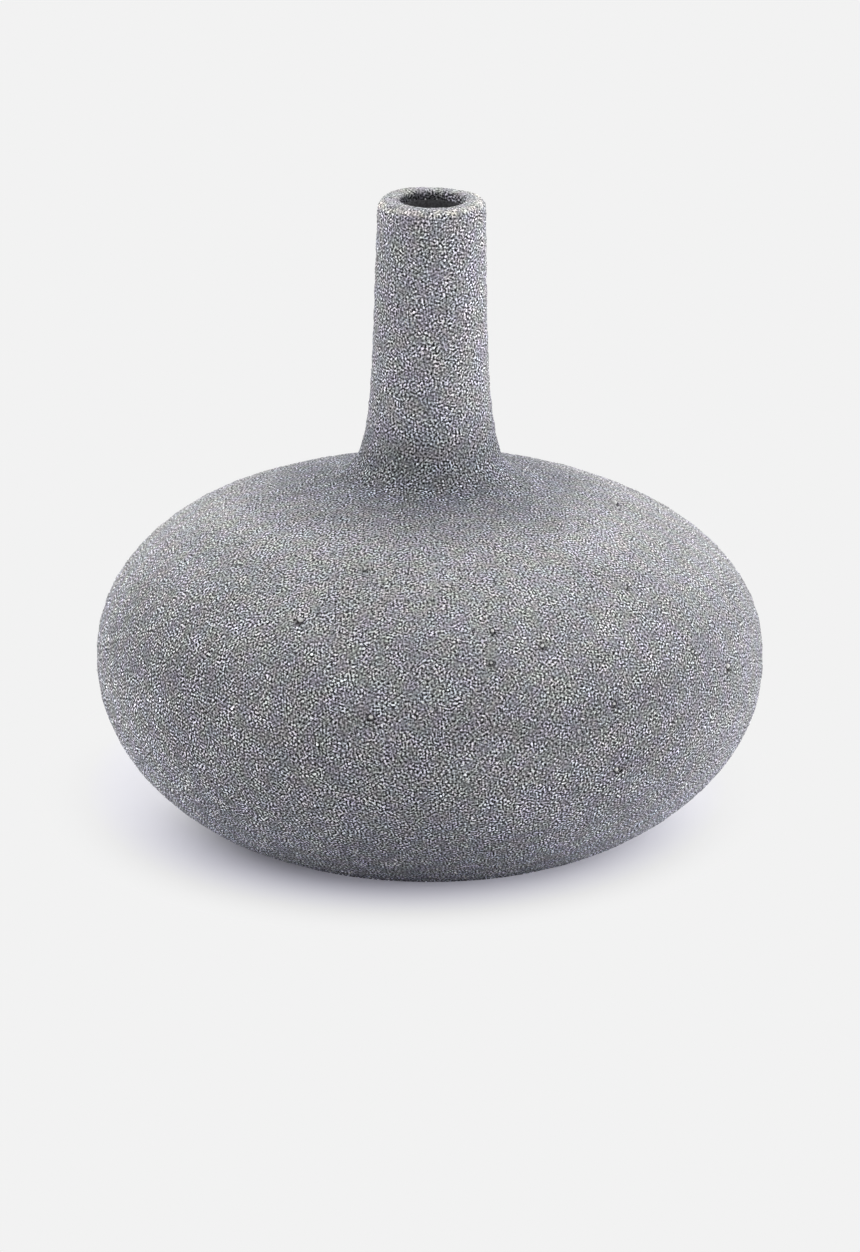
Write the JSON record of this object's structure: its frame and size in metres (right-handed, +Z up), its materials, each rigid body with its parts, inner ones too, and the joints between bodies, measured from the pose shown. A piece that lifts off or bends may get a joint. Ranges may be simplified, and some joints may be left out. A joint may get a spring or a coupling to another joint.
{
  "type": "vase",
  "caption": "Low wide stoneware vase with a narrow tapered neck, a plain round mouth, a glazed inside and a turned foot ring, made to hold a flower stem.",
  "frame": {"origin": "centre of the foot, on the surface that the vase stands on", "axes": "+Z up along the neck's axis, -Y towards the front, +X to the right"},
  "size_m": [0.16, 0.16, 0.1575],
  "materials": {
    "clay": "matte, rough and sandy",
    "slip": "matte, fine",
    "glaze": "satin, dark",
    "grain": "matte"
  },
  "bodies": {
    "root": {"foot_ring": "clay", "foot_slip_joint": "slip", "lower_bowl": "clay", "belly_slip_joint": "slip", "upper_bowl": "clay", "neck_slip_joint": "slip", "neck": "clay", "liner_glaze": "glaze", "grog_grains": "grain"}
  },
  "joints": []
}
